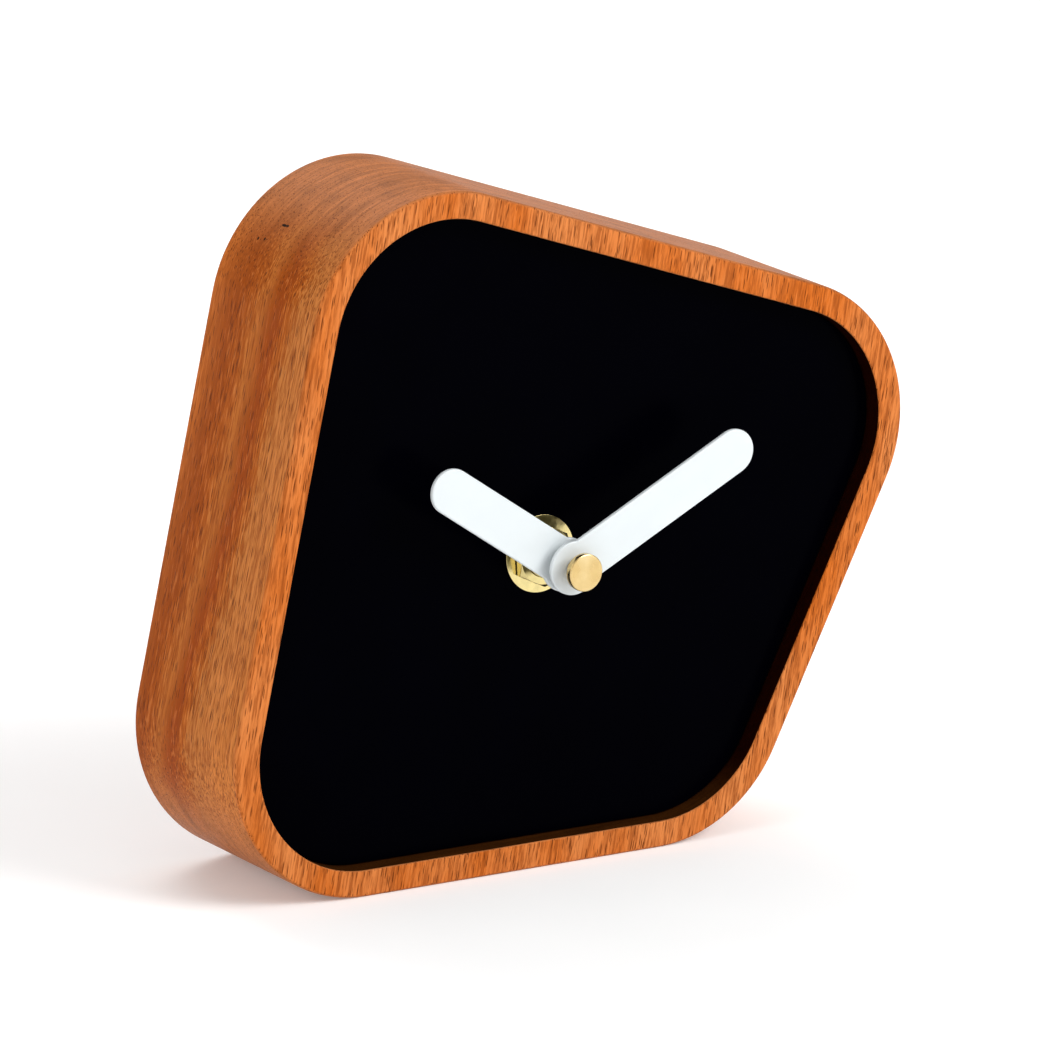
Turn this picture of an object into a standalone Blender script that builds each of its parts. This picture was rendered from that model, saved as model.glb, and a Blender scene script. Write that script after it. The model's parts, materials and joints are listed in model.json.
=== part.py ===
"""Free-standing desk clock: a round-cornered four-sided beech case with an analogue quartz movement.

Lengths are in metres. +Z is up and the dial faces -Y. Points on the face are (right, up) from the sharp lower
left corner of the case, and a depth is measured backwards from the plane of the rim.
"""

import math

import bmesh
import bpy

# Case
CORNERS = ((0.0, 0.0), (0.1188, 0.0), (0.1651, 0.0956), (0.0286, 0.1420))
CORNER_RADIUS = 0.0288
CASE_DEPTH = 0.0370
RIM_WIDTH = 0.0052
DIAL_DEPTH = 0.0039
DIAL_THICKNESS = 0.0020
WEB_THICKNESS = 0.0040
POCKET_SIZE = 0.0580
POCKET_CORNER = 0.0025
SHAFT = (0.0742, 0.0605)
SEAT_GAP = 0.0003
SIDE_GAP = 0.0001

# Hands and their fastenings
HAND_WIDTH = 0.0088
HAND_THICKNESS = 0.0010
HUB_RADIUS = 0.0052
HOUR_REACH = 0.0308
HOUR_ANGLE = math.radians(-56.1)
HOUR_HAND_DEPTH = -0.0062
MINUTE_REACH = 0.0395
MINUTE_ANGLE = math.radians(62.9)
MINUTE_HAND_DEPTH = -0.0089
CAP_RADIUS = 0.0036
CAP_HEAD = 0.0014
CAP_REACH = 0.0128
WASHER_RADIUS = 0.0075
WASHER_THICKNESS = 0.0005
NUT_RADIUS = 0.0063
NUT_THICKNESS = 0.0017
NUT_ANGLE = math.radians(34.2)
BUSH_RADIUS = 0.0040
GASKET_THICKNESS = 0.0008

# Movement
MOVEMENT_SIZE = 0.0560
MOVEMENT_DEPTH = 0.0160
WALL = 0.0012
BAY_WALL_UP = -0.0104
WHEEL_THICKNESS = 0.0008
ARBOR_RADIUS = 0.00035
SLEEVE_RADIUS = 0.00165
PIPE_RADIUS = 0.00255
KNOB_RADIUS = 0.0055
CONTACT_THICKNESS = 0.0004
CELL_RADIUS = 0.0069
WRAP_RADIUS = 0.00725
CELL_LENGTH = 0.0492
CELL_UP = -0.0192

# Gears: teeth of each wheel and pinion, and the module of each pair
CANNON_TEETH = 12
MOTION_TEETH = 36
KNOB_TEETH = 12
MOTION_PINION_TEETH = 10
HOUR_TEETH = 40
CENTRE_TEETH = 48
THIRD_PINION_TEETH = 6
THIRD_TEETH = 45
SECONDS_PINION_TEETH = 6
SECONDS_TEETH = 48
MIDDLE_PINION_TEETH = 8
MIDDLE_TEETH = 40
ROTOR_TEETH = 8
MOTION_MODULE = 0.00035
CENTRE_MODULE = 0.00030
SECONDS_MODULE = 0.00028
ADDENDUM = 0.9
DEDENDUM = 1.15
ROOT_SHARE = 0.48
TIP_SHARE = 0.24

# Facets of a full circle
FINE = 48
ROUND = 24
SMALL = 12


def arc(centre, radius, start, end, steps):
    """Points along an arc, both ends included."""
    angles = [start + (end - start) * step / steps for step in range(steps + 1)]
    return [(centre[0] + radius * math.cos(a), centre[1] + radius * math.sin(a)) for a in angles]


def circle(radius, steps, centre=(0.0, 0.0)):
    return arc(centre, radius, 0.0, 2 * math.pi, steps)[:-1]


def rectangle(left, low, right, high):
    return [(left, low), (right, low), (right, high), (left, high)]


def case_outline(inset, steps=12):
    """The case's outline with its corners rounded, moved inwards by inset."""
    count = len(CORNERS)
    lines = []
    for (x0, y0), (x1, y1) in zip(CORNERS, CORNERS[1:] + CORNERS[:1]):
        length = math.hypot(x1 - x0, y1 - y0)
        inward = ((y0 - y1) / length, (x1 - x0) / length)
        lines.append((inward, inward[0] * x0 + inward[1] * y0 + CORNER_RADIUS))
    points = []
    for index in range(count):
        (a, p), (b, q) = lines[index - 1], lines[index]
        cross = a[0] * b[1] - a[1] * b[0]
        centre = ((p * b[1] - q * a[1]) / cross, (q * a[0] - p * b[0]) / cross)
        start = math.atan2(-a[1], -a[0])
        turn = (math.atan2(-b[1], -b[0]) - start) % (2 * math.pi)
        points += arc(centre, CORNER_RADIUS - inset, start, start + turn, steps)
    return points


def rounded_square(size, radius, steps=4):
    half = size / 2 - radius
    points = []
    for quarter, (x, y) in enumerate(((half, half), (-half, half), (-half, -half), (half, -half))):
        start = quarter * math.pi / 2
        points += arc((x, y), radius, start, start + math.pi / 2, steps)
    return points


def gear_outline(teeth, module, phase):
    """Tapered teeth, with the middle of one tooth at the angle phase."""
    pitch = 2 * math.pi / teeth
    root = module * (teeth / 2 - DEDENDUM)
    tip = module * (teeth / 2 + ADDENDUM)
    corners = ((root, -ROOT_SHARE), (tip, -TIP_SHARE), (tip, TIP_SHARE), (root, ROOT_SHARE))
    points = []
    for tooth in range(teeth):
        for radius, share in corners:
            angle = phase + (tooth + share / 2) * pitch
            points.append((radius * math.cos(angle), radius * math.sin(angle)))
    return points


def meshed_phase(phase, teeth, other_teeth, direction):
    """Phase of a second gear, lying in that direction from this one, whose gap takes this one's tooth."""
    share = (direction - phase) * teeth / (2 * math.pi)
    return direction + math.pi - (0.5 - share) * 2 * math.pi / other_teeth


def hand_outline(reach, angle):
    """A bar with a round tip and a wider round boss about the shaft; angle is clockwise from upright."""
    along = math.pi / 2 - angle
    half = HAND_WIDTH / 2
    shoulder = math.asin(half / HUB_RADIUS)
    tip = arc(offset(reach, along), half, along - math.pi / 2, along + math.pi / 2, 12)
    return tip + arc((0.0, 0.0), HUB_RADIUS, along + shoulder, along + 2 * math.pi - shoulder, 20)


def offset(distance, direction):
    return (distance * math.cos(direction), distance * math.sin(direction))


def from_shaft(place):
    return (SHAFT[0] + place[0], SHAFT[1] + place[1])


OUTLINE = case_outline(0.0)
CENTRE_RIGHT = (min(p[0] for p in OUTLINE) + max(p[0] for p in OUTLINE)) / 2
RIM_Y = (CAP_REACH - CASE_DEPTH) / 2


def world(place, depth):
    return (place[0] - CENTRE_RIGHT, RIM_Y + depth, place[1])


def new_collection(name):
    collection = bpy.data.collections.new(name)
    bpy.context.scene.collection.children.link(collection)
    return collection


def clear_scene():
    for obj in list(bpy.data.objects):
        bpy.data.objects.remove(obj, do_unlink=True)


clear_scene()
parts = new_collection("desk_clock")
tools = new_collection("cutters")
tools.hide_render = True


def helper(obj):
    """Files a shape among the cutters, where it isn't a part of the clock."""
    tools.objects.link(obj)
    obj.hide_render = True
    obj.display_type = "WIRE"
    return obj


def meshed(drawn):
    """A closed mesh object in place of a curve or of an object with modifiers."""
    bpy.context.view_layer.update()
    graph = bpy.context.evaluated_depsgraph_get()
    mesh = bpy.data.meshes.new_from_object(drawn.evaluated_get(graph))
    shape = bmesh.new()
    shape.from_mesh(mesh)
    bmesh.ops.remove_doubles(shape, verts=shape.verts, dist=0.000001)
    bmesh.ops.recalc_face_normals(shape, faces=shape.faces)
    shape.to_mesh(mesh)
    shape.free()
    solid = helper(bpy.data.objects.new("shape", mesh))
    solid.matrix_world = drawn.matrix_world
    bpy.data.objects.remove(drawn, do_unlink=True)
    return solid


def plate(loops, front, back, at=SHAFT):
    """A flat piece between two depths. The first loop, measured from at, is its outline, the others holes."""
    curve = bpy.data.curves.new("outline", "CURVE")
    curve.dimensions = "2D"
    curve.fill_mode = "BOTH"
    curve.extrude = (back - front) / 2
    for loop in loops:
        spline = curve.splines.new("POLY")
        spline.points.add(len(loop) - 1)
        for point, (x, y) in zip(spline.points, loop):
            point.co = (x, y, 0.0, 1.0)
        spline.use_cyclic_u = True
    drawn = bpy.data.objects.new("outline", curve)
    tools.objects.link(drawn)
    drawn.location = world(at, (front + back) / 2)
    drawn.rotation_euler = (math.pi / 2, 0.0, 0.0)
    return meshed(drawn)


def turned(profile, location, rotation, steps, closed):
    mesh = bpy.data.meshes.new("profile")
    edges = [(i, i + 1) for i in range(len(profile) - 1)]
    if closed:
        edges.append((len(profile) - 1, 0))
    mesh.from_pydata([(radius, 0.0, height) for radius, height in profile], edges, [])
    drawn = bpy.data.objects.new("profile", mesh)
    tools.objects.link(drawn)
    drawn.location = location
    drawn.rotation_euler = rotation
    screw = drawn.modifiers.new("turn", "SCREW")
    screw.steps = steps
    screw.render_steps = steps
    screw.use_merge_vertices = True
    screw.merge_threshold = 0.00001
    return meshed(drawn)


def turned_on_depth(profile, at=SHAFT, steps=ROUND, closed=False):
    """A piece turned about an axis that runs backwards, from (radius, depth) pairs, the front end first."""
    return turned([(r, -d) for r, d in profile], world(at, 0.0), (math.pi / 2, 0.0, 0.0), steps, closed)


def turned_across(profile, at, depth, steps=ROUND, closed=False):
    """A piece turned about an axis that runs right, from (radius, right) pairs, the right end first."""
    return turned(profile, world(at, depth), (0.0, math.pi / 2, 0.0), steps, closed)


def rod(radius, front, back, at=SHAFT, steps=SMALL):
    return turned_on_depth([(0.0, front), (radius, front), (radius, back), (0.0, back)], at, steps)


def tube(radius, bore, front, back, at=SHAFT, steps=ROUND):
    return turned_on_depth([(radius, front), (radius, back), (bore, back), (bore, front)], at, steps, True)


def combine(target, operation, others):
    """Applies one Boolean for each of the other shapes, and takes the used shapes away."""
    for other in others:
        boolean = target.modifiers.new(operation.lower(), "BOOLEAN")
        boolean.operation = operation
        boolean.object = other
    solid = meshed(target)
    for other in others:
        bpy.data.objects.remove(other, do_unlink=True)
    return solid


def unite(target, *others):
    return combine(target, "UNION", others)


def cut(target, *others):
    return combine(target, "DIFFERENCE", others)


def finish(name, colour, roughness, metallic):
    material = bpy.data.materials.new(name)
    material.use_nodes = True
    shader = material.node_tree.nodes["Principled BSDF"]
    shader.inputs["Base Color"].default_value = (*colour, 1.0)
    shader.inputs["Roughness"].default_value = roughness
    shader.inputs["Metallic"].default_value = metallic
    return material


def piece(name, solid, colour, roughness, metallic=0.0, body=None):
    """Makes a shape a part of the clock, with its own material, on the body it moves with."""
    solid.name = name
    solid.data.name = name
    tools.objects.unlink(solid)
    parts.objects.link(solid)
    solid.hide_render = False
    solid.display_type = "TEXTURED"
    solid.data.materials.clear()
    solid.data.materials.append(finish(name, colour, roughness, metallic))
    solid.data.shade_smooth()
    solid.data.set_sharp_from_angle(angle=math.radians(30))
    if body:
        solid.parent = body
        solid.matrix_parent_inverse = body.matrix_world.inverted()
    return solid


def axis(name, at, depth):
    """An empty on a moving body's axis, which its pieces are parented to."""
    empty = bpy.data.objects.new(name + "_axis", None)
    empty.empty_display_size = 0.005
    empty.location = world(at, depth)
    parts.objects.link(empty)
    bpy.context.view_layer.update()
    return empty


WOOD = (0.58, 0.23, 0.06)
BLACK = (0.006, 0.006, 0.007)
WHITE = (0.86, 0.87, 0.86)
BRASS = (0.80, 0.60, 0.22)
STEEL = (0.55, 0.55, 0.56)
BLACK_PLASTIC = (0.02, 0.02, 0.022)
WHITE_PLASTIC = (0.80, 0.80, 0.76)
NATURAL_PLASTIC = (0.62, 0.60, 0.52)

# Depths of the stack on the shaft, from the rim plane backwards
DIAL_BACK = DIAL_DEPTH + DIAL_THICKNESS
RECESS_DEPTH = DIAL_BACK + SEAT_GAP
POCKET_FLOOR = RECESS_DEPTH + WEB_THICKNESS
GASKET_FRONT = POCKET_FLOOR + SEAT_GAP
MOVEMENT_FRONT = GASKET_FRONT + GASKET_THICKNESS + SEAT_GAP
MOVEMENT_BACK = MOVEMENT_FRONT + MOVEMENT_DEPTH
WASHER_BACK = DIAL_DEPTH - SEAT_GAP
NUT_BACK = WASHER_BACK - WASHER_THICKNESS - SEAT_GAP
NUT_FRONT = NUT_BACK - NUT_THICKNESS


def inside(depth):
    """Depth of a point that far behind the movement's front face."""
    return MOVEMENT_FRONT + depth


# Wheel axes in the movement, from the shaft
MOTION_DISTANCE = MOTION_MODULE * (CANNON_TEETH + MOTION_TEETH) / 2
MOTION_DIRECTION = math.radians(-20)
KNOB_DIRECTION = math.radians(50)
HOUR_MODULE = 2 * MOTION_DISTANCE / (MOTION_PINION_TEETH + HOUR_TEETH)
THIRD_DISTANCE = CENTRE_MODULE * (CENTRE_TEETH + THIRD_PINION_TEETH) / 2
THIRD_DIRECTION = math.radians(150)
THIRD_MODULE = 2 * THIRD_DISTANCE / (THIRD_TEETH + SECONDS_PINION_TEETH)
MIDDLE_DISTANCE = SECONDS_MODULE * (SECONDS_TEETH + MIDDLE_PINION_TEETH) / 2
MIDDLE_DIRECTION = math.radians(80)
ROTOR_DISTANCE = SECONDS_MODULE * (MIDDLE_TEETH + ROTOR_TEETH) / 2
ROTOR_DIRECTION = math.radians(20)
motion_place = offset(MOTION_DISTANCE, MOTION_DIRECTION)
knob_step = offset(MOTION_DISTANCE, KNOB_DIRECTION)
knob_place = (motion_place[0] + knob_step[0], motion_place[1] + knob_step[1])
third_place = offset(THIRD_DISTANCE, THIRD_DIRECTION)
middle_place = offset(MIDDLE_DISTANCE, MIDDLE_DIRECTION)
rotor_step = offset(ROTOR_DISTANCE, ROTOR_DIRECTION)
rotor_place = (middle_place[0] + rotor_step[0], middle_place[1] + rotor_step[1])
motion_at = from_shaft(motion_place)
knob_at = from_shaft(knob_place)
third_at = from_shaft(third_place)
middle_at = from_shaft(middle_place)
rotor_at = from_shaft(rotor_place)

# Depths of the wheels behind the movement's front face
FLANGE_IN = (0.0015, 0.0021)
HOUR_IN = (0.0024, 0.0032)
MOTION_PINION_IN = (0.0023, 0.0034)
MOTION_IN = (0.0038, 0.0046)
CANNON_IN = (0.0036, 0.0048)
CENTRE_IN = (0.0052, 0.0060)
THIRD_PINION_IN = (0.0050, 0.0063)
PLATE_IN = (0.0066, 0.0076)
THIRD_IN = (0.0080, 0.0088)
SECONDS_PINION_IN = (0.0079, 0.0090)
STATOR_IN = (0.0082, 0.0090)
MAGNET_IN = (0.0079, 0.0095)
SECONDS_IN = (0.0093, 0.0101)
MIDDLE_PINION_IN = (0.0092, 0.0104)
MIDDLE_IN = (0.0109, 0.0117)
ROTOR_PINION_IN = (0.0108, 0.0119)
BOSS_IN = 0.0130
COVER_IN = 0.0148
ARBOR_END_IN = 0.0144
PLATE_PIVOT_IN = 0.0069
FRONT_PIVOT_IN = 0.0016


def gear(teeth, module, phase, span, at, holes=()):
    outline = gear_outline(teeth, module, phase)
    return plate([outline, *holes], inside(span[0]), inside(span[1]), at)


def make_case():
    corner = (0.0, 0.0)
    block = plate([OUTLINE], 0.0, CASE_DEPTH, corner)
    overrun = 0.002
    recess = plate([case_outline(RIM_WIDTH)], -overrun, RECESS_DEPTH, corner)
    pocket = plate([rounded_square(POCKET_SIZE, POCKET_CORNER)], POCKET_FLOOR, CASE_DEPTH + overrun)
    bore = rod(0.0045, 0.0, CASE_DEPTH, steps=ROUND)
    piece("wood_case", cut(block, recess, pocket, bore), WOOD, 0.42)


def make_dial():
    outline = [(x - SHAFT[0], y - SHAFT[1]) for x, y in case_outline(RIM_WIDTH + SEAT_GAP)]
    dial = plate([outline, circle(0.0043, ROUND)], DIAL_DEPTH, DIAL_BACK)
    piece("dial_plate", dial, BLACK, 0.12)


def make_fastenings():
    washer = tube(WASHER_RADIUS, 0.0042, WASHER_BACK - WASHER_THICKNESS, WASHER_BACK, steps=FINE)
    piece("fixing_washer", washer, BRASS, 0.2, 1.0)
    hexagon = [offset(NUT_RADIUS, NUT_ANGLE + side * math.pi / 3) for side in range(6)]
    nut = plate([hexagon, circle(BUSH_RADIUS + SIDE_GAP, ROUND)], NUT_FRONT, NUT_BACK)
    piece("fixing_nut", nut, BRASS, 0.2, 1.0)
    bore = 0.0028
    front = NUT_FRONT - 0.0006
    flange = 0.0055
    profile = [(BUSH_RADIUS, front), (BUSH_RADIUS, inside(FLANGE_IN[0])), (flange, inside(FLANGE_IN[0]))]
    profile += [(flange, inside(FLANGE_IN[1])), (bore, inside(FLANGE_IN[1])), (bore, front)]
    piece("threaded_bush", turned_on_depth(profile, closed=True), BRASS, 0.3, 1.0)
    gasket = tube(0.0110, 0.0043, GASKET_FRONT, GASKET_FRONT + GASKET_THICKNESS)
    piece("rubber_gasket", gasket, BLACK_PLASTIC, 0.8)


def make_hands(minute_body, hour_body):
    hole = circle(PIPE_RADIUS + SIDE_GAP, ROUND)
    outline = hand_outline(HOUR_REACH, HOUR_ANGLE)
    hand = plate([outline, hole], HOUR_HAND_DEPTH, HOUR_HAND_DEPTH + HAND_THICKNESS)
    piece("hour_hand", hand, WHITE, 0.35, body=hour_body)
    hole = circle(SLEEVE_RADIUS + SIDE_GAP, ROUND)
    outline = hand_outline(MINUTE_REACH, MINUTE_ANGLE)
    hand = plate([outline, hole], MINUTE_HAND_DEPTH, MINUTE_HAND_DEPTH + HAND_THICKNESS)
    piece("minute_hand", hand, WHITE, 0.35, body=minute_body)
    face = -CAP_REACH
    neck = 0.0020
    bore = 0.0013
    foot = MINUTE_HAND_DEPTH - SEAT_GAP
    profile = [(0.0, face), (CAP_RADIUS, face), (CAP_RADIUS, face + CAP_HEAD), (neck, face + CAP_HEAD)]
    profile += [(neck, foot), (bore, foot), (bore, face + 0.0011), (0.0, face + 0.0011)]
    piece("cap_nut", turned_on_depth(profile), BRASS, 0.25, 1.0, minute_body)


def make_motion_work(minute_body, hour_body, motion_body, knob_body):
    """The gears that tie the two hands and the setting knob together."""
    phase = 0.0
    motion_phase = meshed_phase(phase, CANNON_TEETH, MOTION_TEETH, MOTION_DIRECTION)
    knob_phase = meshed_phase(motion_phase, MOTION_TEETH, KNOB_TEETH, KNOB_DIRECTION)
    hour_phase = meshed_phase(phase, MOTION_PINION_TEETH, HOUR_TEETH, MOTION_DIRECTION + math.pi)
    thread = 0.0012
    bore = 0.00075
    shoulder = MINUTE_HAND_DEPTH + 0.0002
    front = -CAP_REACH + 0.0014
    back = inside(CENTRE_IN[1] + 0.0002)
    profile = [(thread, front), (thread, shoulder), (SLEEVE_RADIUS, shoulder), (SLEEVE_RADIUS, back)]
    sleeve = turned_on_depth(profile + [(bore, back), (bore, front)], closed=True)
    ring = [circle((SLEEVE_RADIUS + bore) / 2, ROUND)]
    cannon = gear(CANNON_TEETH, MOTION_MODULE, phase, CANNON_IN, SHAFT, ring)
    piece("minute_arbor", unite(sleeve, cannon), STEEL, 0.3, 1.0, minute_body)

    bore = 0.00195
    front = HOUR_HAND_DEPTH - 0.0002
    pipe = tube(PIPE_RADIUS, bore, front, inside(HOUR_IN[1] - 0.0001))
    ring = [circle((PIPE_RADIUS + bore) / 2, ROUND)]
    wheel = gear(HOUR_TEETH, HOUR_MODULE, hour_phase, HOUR_IN, SHAFT, ring)
    piece("hour_wheel", unite(pipe, wheel), WHITE_PLASTIC, 0.45, 0.0, hour_body)

    hole = [circle(0.00075, SMALL)]
    wheel = gear(MOTION_TEETH, MOTION_MODULE, motion_phase, MOTION_IN, motion_at, hole)
    span = (MOTION_PINION_IN[0], MOTION_IN[0] + 0.0002)
    pinion = gear(MOTION_PINION_TEETH, HOUR_MODULE, phase, span, motion_at, hole)
    piece("motion_wheel", unite(wheel, pinion), WHITE_PLASTIC, 0.45, 0.0, motion_body)

    knob_front = MOVEMENT_BACK + 0.0004
    grip = []
    flutes = 24
    for flute in range(flutes):
        grip.append(offset(KNOB_RADIUS, 2 * math.pi * flute / flutes))
        grip.append(offset(KNOB_RADIUS - 0.0004, 2 * math.pi * (flute + 0.5) / flutes))
    head = plate([grip], knob_front, knob_front + 0.0025, knob_at)
    shaft = rod(0.0013, inside(MOTION_IN[0]), knob_front + 0.0005, knob_at)
    pivot = rod(0.0005, inside(FRONT_PIVOT_IN), inside(MOTION_IN[0] + 0.0005), knob_at)
    span = (MOTION_IN[0] - 0.0001, MOTION_IN[1] + 0.0001)
    pinion = gear(KNOB_TEETH, MOTION_MODULE, knob_phase, span, knob_at)
    piece("setting_knob", unite(head, shaft, pivot, pinion), BLACK_PLASTIC, 0.5, 0.0, knob_body)


def make_going_train(centre_body, third_body, seconds_body, middle_body, rotor_body):
    """The wheels from the stepping rotor to the centre wheel, which carries the minute arbor by friction."""
    phase = 0.0
    third_phase = meshed_phase(phase, CENTRE_TEETH, THIRD_PINION_TEETH, THIRD_DIRECTION)
    seconds_phase = meshed_phase(phase, THIRD_TEETH, SECONDS_PINION_TEETH, THIRD_DIRECTION + math.pi)
    middle_phase = meshed_phase(phase, SECONDS_TEETH, MIDDLE_PINION_TEETH, MIDDLE_DIRECTION)
    rotor_phase = meshed_phase(phase, MIDDLE_TEETH, ROTOR_TEETH, ROTOR_DIRECTION)

    hole = circle(SLEEVE_RADIUS + SIDE_GAP, ROUND)
    wheel = gear(CENTRE_TEETH, CENTRE_MODULE, phase, CENTRE_IN, SHAFT, [hole])
    piece("centre_wheel", wheel, BRASS, 0.35, 1.0, centre_body)

    pinion = gear(THIRD_PINION_TEETH, CENTRE_MODULE, third_phase, THIRD_PINION_IN, third_at)
    neck = rod(0.0006, inside(THIRD_PINION_IN[0] + 0.0002), inside(THIRD_IN[1] + 0.0003), third_at)
    arbor = rod(ARBOR_RADIUS, inside(FRONT_PIVOT_IN), inside(ARBOR_END_IN), third_at)
    wheel = gear(THIRD_TEETH, THIRD_MODULE, phase, THIRD_IN, third_at)
    piece("third_wheel", unite(wheel, pinion, neck, arbor), WHITE_PLASTIC, 0.45, 0.0, third_body)

    pinion = gear(SECONDS_PINION_TEETH, THIRD_MODULE, seconds_phase, SECONDS_PINION_IN, SHAFT)
    neck = rod(0.0006, inside(SECONDS_PINION_IN[0] + 0.0002), inside(SECONDS_IN[1] + 0.0003))
    arbor = rod(0.0004, -CAP_REACH + 0.0016, inside(ARBOR_END_IN))
    wheel = gear(SECONDS_TEETH, SECONDS_MODULE, phase, SECONDS_IN, SHAFT)
    piece("seconds_wheel", unite(wheel, pinion, neck, arbor), WHITE_PLASTIC, 0.45, 0.0, seconds_body)

    pinion = gear(MIDDLE_PINION_TEETH, SECONDS_MODULE, middle_phase, MIDDLE_PINION_IN, middle_at)
    neck = rod(0.0007, inside(MIDDLE_PINION_IN[0] + 0.0002), inside(MIDDLE_IN[1] + 0.0003), middle_at)
    arbor = rod(ARBOR_RADIUS, inside(PLATE_PIVOT_IN), inside(ARBOR_END_IN), middle_at)
    wheel = gear(MIDDLE_TEETH, SECONDS_MODULE, phase, MIDDLE_IN, middle_at)
    piece("intermediate_wheel", unite(wheel, pinion, neck, arbor), WHITE_PLASTIC, 0.45, 0.0, middle_body)

    pinion = gear(ROTOR_TEETH, SECONDS_MODULE, rotor_phase, ROTOR_PINION_IN, rotor_at)
    hub = rod(0.0006, inside(MAGNET_IN[0]), inside(ROTOR_PINION_IN[0] + 0.0002), rotor_at)
    arbor = rod(ARBOR_RADIUS, inside(PLATE_PIVOT_IN), inside(ARBOR_END_IN), rotor_at)
    piece("rotor_pinion", unite(pinion, hub, arbor), WHITE_PLASTIC, 0.45, 0.0, rotor_body)
    magnet = tube(0.0030, 0.0007, inside(MAGNET_IN[0]), inside(MAGNET_IN[1]), rotor_at)
    piece("rotor_magnet", magnet, STEEL, 0.4, 1.0, rotor_body)


def make_movement_case():
    """An open tray: the train's bay above, the cell's bay below, and a bush hole in the front wall."""
    inner = MOVEMENT_SIZE / 2 - WALL
    tray = plate([rounded_square(MOVEMENT_SIZE, 0.0015)], MOVEMENT_FRONT, MOVEMENT_BACK)
    wall = rectangle(-inner + WALL, BAY_WALL_UP - WALL, inner - WALL, BAY_WALL_UP)
    hollow = plate([rectangle(-inner, -inner, inner, inner), wall], inside(WALL), MOVEMENT_BACK + 0.002)
    bush_hole = rod(BUSH_RADIUS + SIDE_GAP, MOVEMENT_FRONT - 0.001, inside(WALL + 0.001), steps=ROUND)
    tray = cut(tray, hollow, bush_hole)
    root = inside(WALL - 0.0004)
    additions = [rod(0.0006, root, inside(0.0050), motion_at)]
    sockets = []
    for at, pivot in ((third_at, ARBOR_RADIUS), (knob_at, 0.0005)):
        additions.append(rod(0.0010, root, inside(0.0021), at))
        sockets.append(rod(pivot + SIDE_GAP, inside(FRONT_PIVOT_IN - SEAT_GAP), inside(0.0025), at))
    for right in (-0.0225, 0.0225):
        for up in (-0.0070, 0.0115):
            additions.append(rod(0.0015, root, inside(PLATE_IN[0] - SEAT_GAP), from_shaft((right, up))))
    piece("movement_case", cut(unite(tray, *additions), *sockets), BLACK_PLASTIC, 0.45)


def make_movement_cover():
    inner = MOVEMENT_SIZE / 2 - WALL - SEAT_GAP
    knob_hole = circle(0.0015, SMALL, knob_place)
    outline = rectangle(-inner, BAY_WALL_UP + SEAT_GAP, inner, inner)
    cover = plate([outline, knob_hole], inside(COVER_IN), MOVEMENT_BACK)
    arbors = (SHAFT, third_at, middle_at, rotor_at)
    bosses = [rod(0.0011, inside(BOSS_IN), inside(COVER_IN + 0.0004), at) for at in arbors]
    radii = (0.0004, ARBOR_RADIUS, ARBOR_RADIUS, ARBOR_RADIUS)
    sockets = []
    for at, radius in zip(arbors, radii):
        sockets.append(rod(radius + SIDE_GAP, inside(BOSS_IN - 0.001), inside(ARBOR_END_IN + SEAT_GAP), at))
    piece("movement_cover", cut(unite(cover, *bosses), *sockets), BLACK_PLASTIC, 0.45)


def make_middle_plate():
    side = MOVEMENT_SIZE / 2 - WALL - CONTACT_THICKNESS - 3 * SEAT_GAP
    outline = rectangle(-side, BAY_WALL_UP + SEAT_GAP, side, 0.0140)
    holes = [circle(0.0009, SMALL), circle(0.0016, SMALL, third_place), circle(0.0015, SMALL, knob_place)]
    holes += [circle(ARBOR_RADIUS + SIDE_GAP, SMALL, place) for place in (middle_place, rotor_place)]
    middle = plate([outline, *holes], inside(PLATE_IN[0]), inside(PLATE_IN[1]))
    piece("middle_plate", middle, NATURAL_PLASTIC, 0.5)


def make_motor():
    """The stepping motor's fixed half: a U of soft iron round the rotor, and a coil across its open end."""
    right, up = rotor_place
    ring = 0.0052
    leg = 0.0035
    reach = 0.0126
    low = 0.0119
    high = 0.0145
    top = 0.0230
    below = math.asin((low - up) / ring)
    above = math.asin((high - up) / ring)
    outline = [(right - reach, top), (right - reach, low)]
    outline += arc((right, up), ring, math.pi - below, 2 * math.pi + below, 18)
    outline += [(right + reach, low), (right + reach, top), (right + reach - leg, top)]
    outline.append((right + reach - leg, high))
    outline += arc((right, up), ring, above, math.pi - above, 4)
    outline += [(right - reach + leg, high), (right - reach + leg, top)]
    stator = plate([outline, circle(0.0035, ROUND, rotor_place)], inside(STATOR_IN[0]), inside(STATOR_IN[1]))
    piece("stator", stator, STEEL, 0.35, 1.0)

    coil_up = 0.0210
    coil_at = from_shaft((right, coil_up))
    half_core = (0.0004, 0.0015)
    core_mid = STATOR_IN[0] - SEAT_GAP - half_core[0]
    bar = rectangle(right - reach, coil_up - half_core[1], right + reach, coil_up + half_core[1])
    core = plate([bar], inside(core_mid - half_core[0]), inside(core_mid + half_core[0]))
    piece("coil_core", core, STEEL, 0.35, 1.0)

    half = reach - leg - SEAT_GAP
    flange = 0.0042
    barrel = 0.0026
    lip = 0.0008
    profile = [(0.0, half), (flange, half), (flange, half - lip), (barrel, half - lip)]
    profile += [(barrel, lip - half), (flange, lip - half), (flange, -half), (0.0, -half)]
    bobbin = turned_across(profile, coil_at, inside(core_mid))
    slot_up = half_core[1] + SEAT_GAP
    slot_in = half_core[0] + SEAT_GAP
    slot = rectangle(right - reach, coil_up - slot_up, right + reach, coil_up + slot_up)
    bobbin = cut(bobbin, plate([slot], inside(core_mid - slot_in), inside(core_mid + slot_in)))
    piece("coil_bobbin", bobbin, WHITE_PLASTIC, 0.5)

    end = half - lip - SEAT_GAP
    profile = [(0.0038, end), (0.0038, -end), (barrel + SEAT_GAP, -end), (barrel + SEAT_GAP, end)]
    winding = turned_across(profile, coil_at, inside(core_mid), closed=True)
    piece("coil_winding", winding, (0.62, 0.22, 0.07), 0.35, 1.0)


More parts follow.
